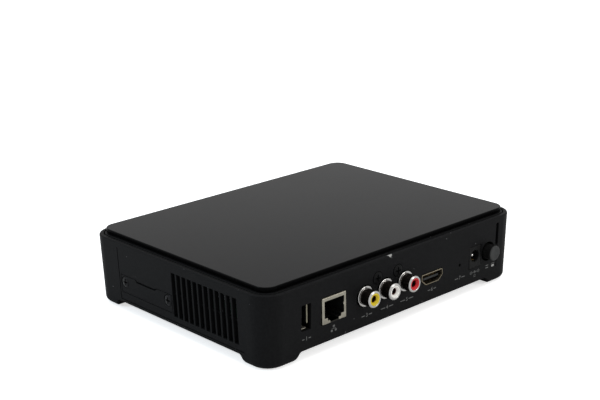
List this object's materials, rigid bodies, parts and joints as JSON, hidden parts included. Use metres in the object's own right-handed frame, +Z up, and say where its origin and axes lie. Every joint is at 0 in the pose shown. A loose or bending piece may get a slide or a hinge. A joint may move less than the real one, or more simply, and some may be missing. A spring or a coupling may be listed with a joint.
{
  "type": "set-top digital recorder",
  "caption": "Flat black set-top recorder with a raised glossy top plate, corner feet, a grille, a screwed side cover and a rear panel of sockets.",
  "frame": {"origin": "on the ground under the middle of the part's bounding box", "axes": "+Z up, +Y towards the rear socket panel, +X towards the grille and the screwed side cover"},
  "size_m": [0.178, 0.1405, 0.0399],
  "materials": {
    "case_plastic": "fine spark-eroded matt black",
    "plate_gloss": "polished black",
    "adhesive_foam": "matt foam tape",
    "window_smoke": "dark smoked",
    "light_pipe_clear": "clear moulded",
    "foot_rubber": "matt",
    "screw_steel": "bright zinc",
    "screw_black": "black oxide",
    "tin_plate": "satin tin",
    "tongue_plastic": "off-white moulded",
    "socket_plastic": "black moulded",
    "barrel_chrome": "nickel plated",
    "insulator_yellow": "moulded yellow",
    "insulator_white": "moulded white",
    "insulator_red": "moulded red",
    "gold_plate": "thin gold flash",
    "chip_epoxy": "matt epoxy",
    "board_laminate": "green solder mask",
    "bare_aluminium": "mill",
    "cell_steel": "bright",
    "ribbon_film": "amber film"
  },
  "bodies": {
    "case": {"lower_case": "case_plastic", "top_cover": "case_plastic", "side_cover_plate": "case_plastic", "top_plate": "plate_gloss", "plate_adhesive": "adhesive_foam", "front_window": "window_smoke", "infrared_receiver": "window_smoke", "status_light_pipe": "light_pipe_clear", "foot_pad_front_left": "foot_rubber", "foot_pad_front_right": "foot_rubber", "foot_pad_rear_left": "foot_rubber", "foot_pad_rear_right": "foot_rubber", "case_screw_front_left": "screw_steel", "case_screw_front_right": "screw_steel", "case_screw_rear_left": "screw_steel", "case_screw_rear_right": "screw_steel", "cover_screw_front": "screw_steel", "cover_screw_rear": "screw_steel", "board_screw_1": "screw_steel", "board_screw_2": "screw_steel", "board_screw_3": "screw_steel", "board_screw_4": "screw_steel", "panel_screw_left": "screw_black", "panel_screw_right": "screw_black", "type_a_shell": "tin_plate", "type_a_tongue": "tongue_plastic", "network_jack_shield": "tin_plate", "network_jack_housing": "socket_plastic", "phono_body": "socket_plastic", "phono_barrel_yellow": "barrel_chrome", "phono_barrel_white": "barrel_chrome", "phono_barrel_red": "barrel_chrome", "phono_insulator_yellow": "insulator_yellow", "phono_insulator_white": "insulator_white", "phono_insulator_red": "insulator_red", "video_socket_shell": "gold_plate", "video_socket_tongue": "socket_plastic", "reset_switch_body": "chip_epoxy", "dc_jack_housing": "socket_plastic", "dc_jack_pin": "barrel_chrome", "dc_jack_contact": "gold_plate", "power_switch_body": "chip_epoxy", "main_board": "board_laminate", "processor": "chip_epoxy", "memory_chip_a": "chip_epoxy", "memory_chip_b": "chip_epoxy", "power_inductor": "chip_epoxy", "heat_sink": "bare_aluminium", "capacitor_a": "bare_aluminium", "capacitor_b": "bare_aluminium", "capacitor_c": "bare_aluminium", "card_socket": "tin_plate", "coin_cell_holder": "socket_plastic", "coin_cell": "cell_steel", "disk_bracket": "bare_aluminium", "disk_drive": "bare_aluminium", "disk_cable": "ribbon_film"},
    "power_button": {"power_button_cap": "case_plastic", "power_switch_plunger": "socket_plastic"},
    "reset_button": {"reset_switch_plunger": "socket_plastic"}
  },
  "joints": [
    {"name": "power_press", "type": "slide", "parent": "case", "child": "power_button", "axis": [0, -1, 0], "range_m": [0, 0.003], "stiffness_N_per_m": 400},
    {"name": "reset_press", "type": "slide", "parent": "case", "child": "reset_button", "axis": [0, -1, 0], "range_m": [0, 0.00025], "stiffness_N_per_m": 1000}
  ]
}
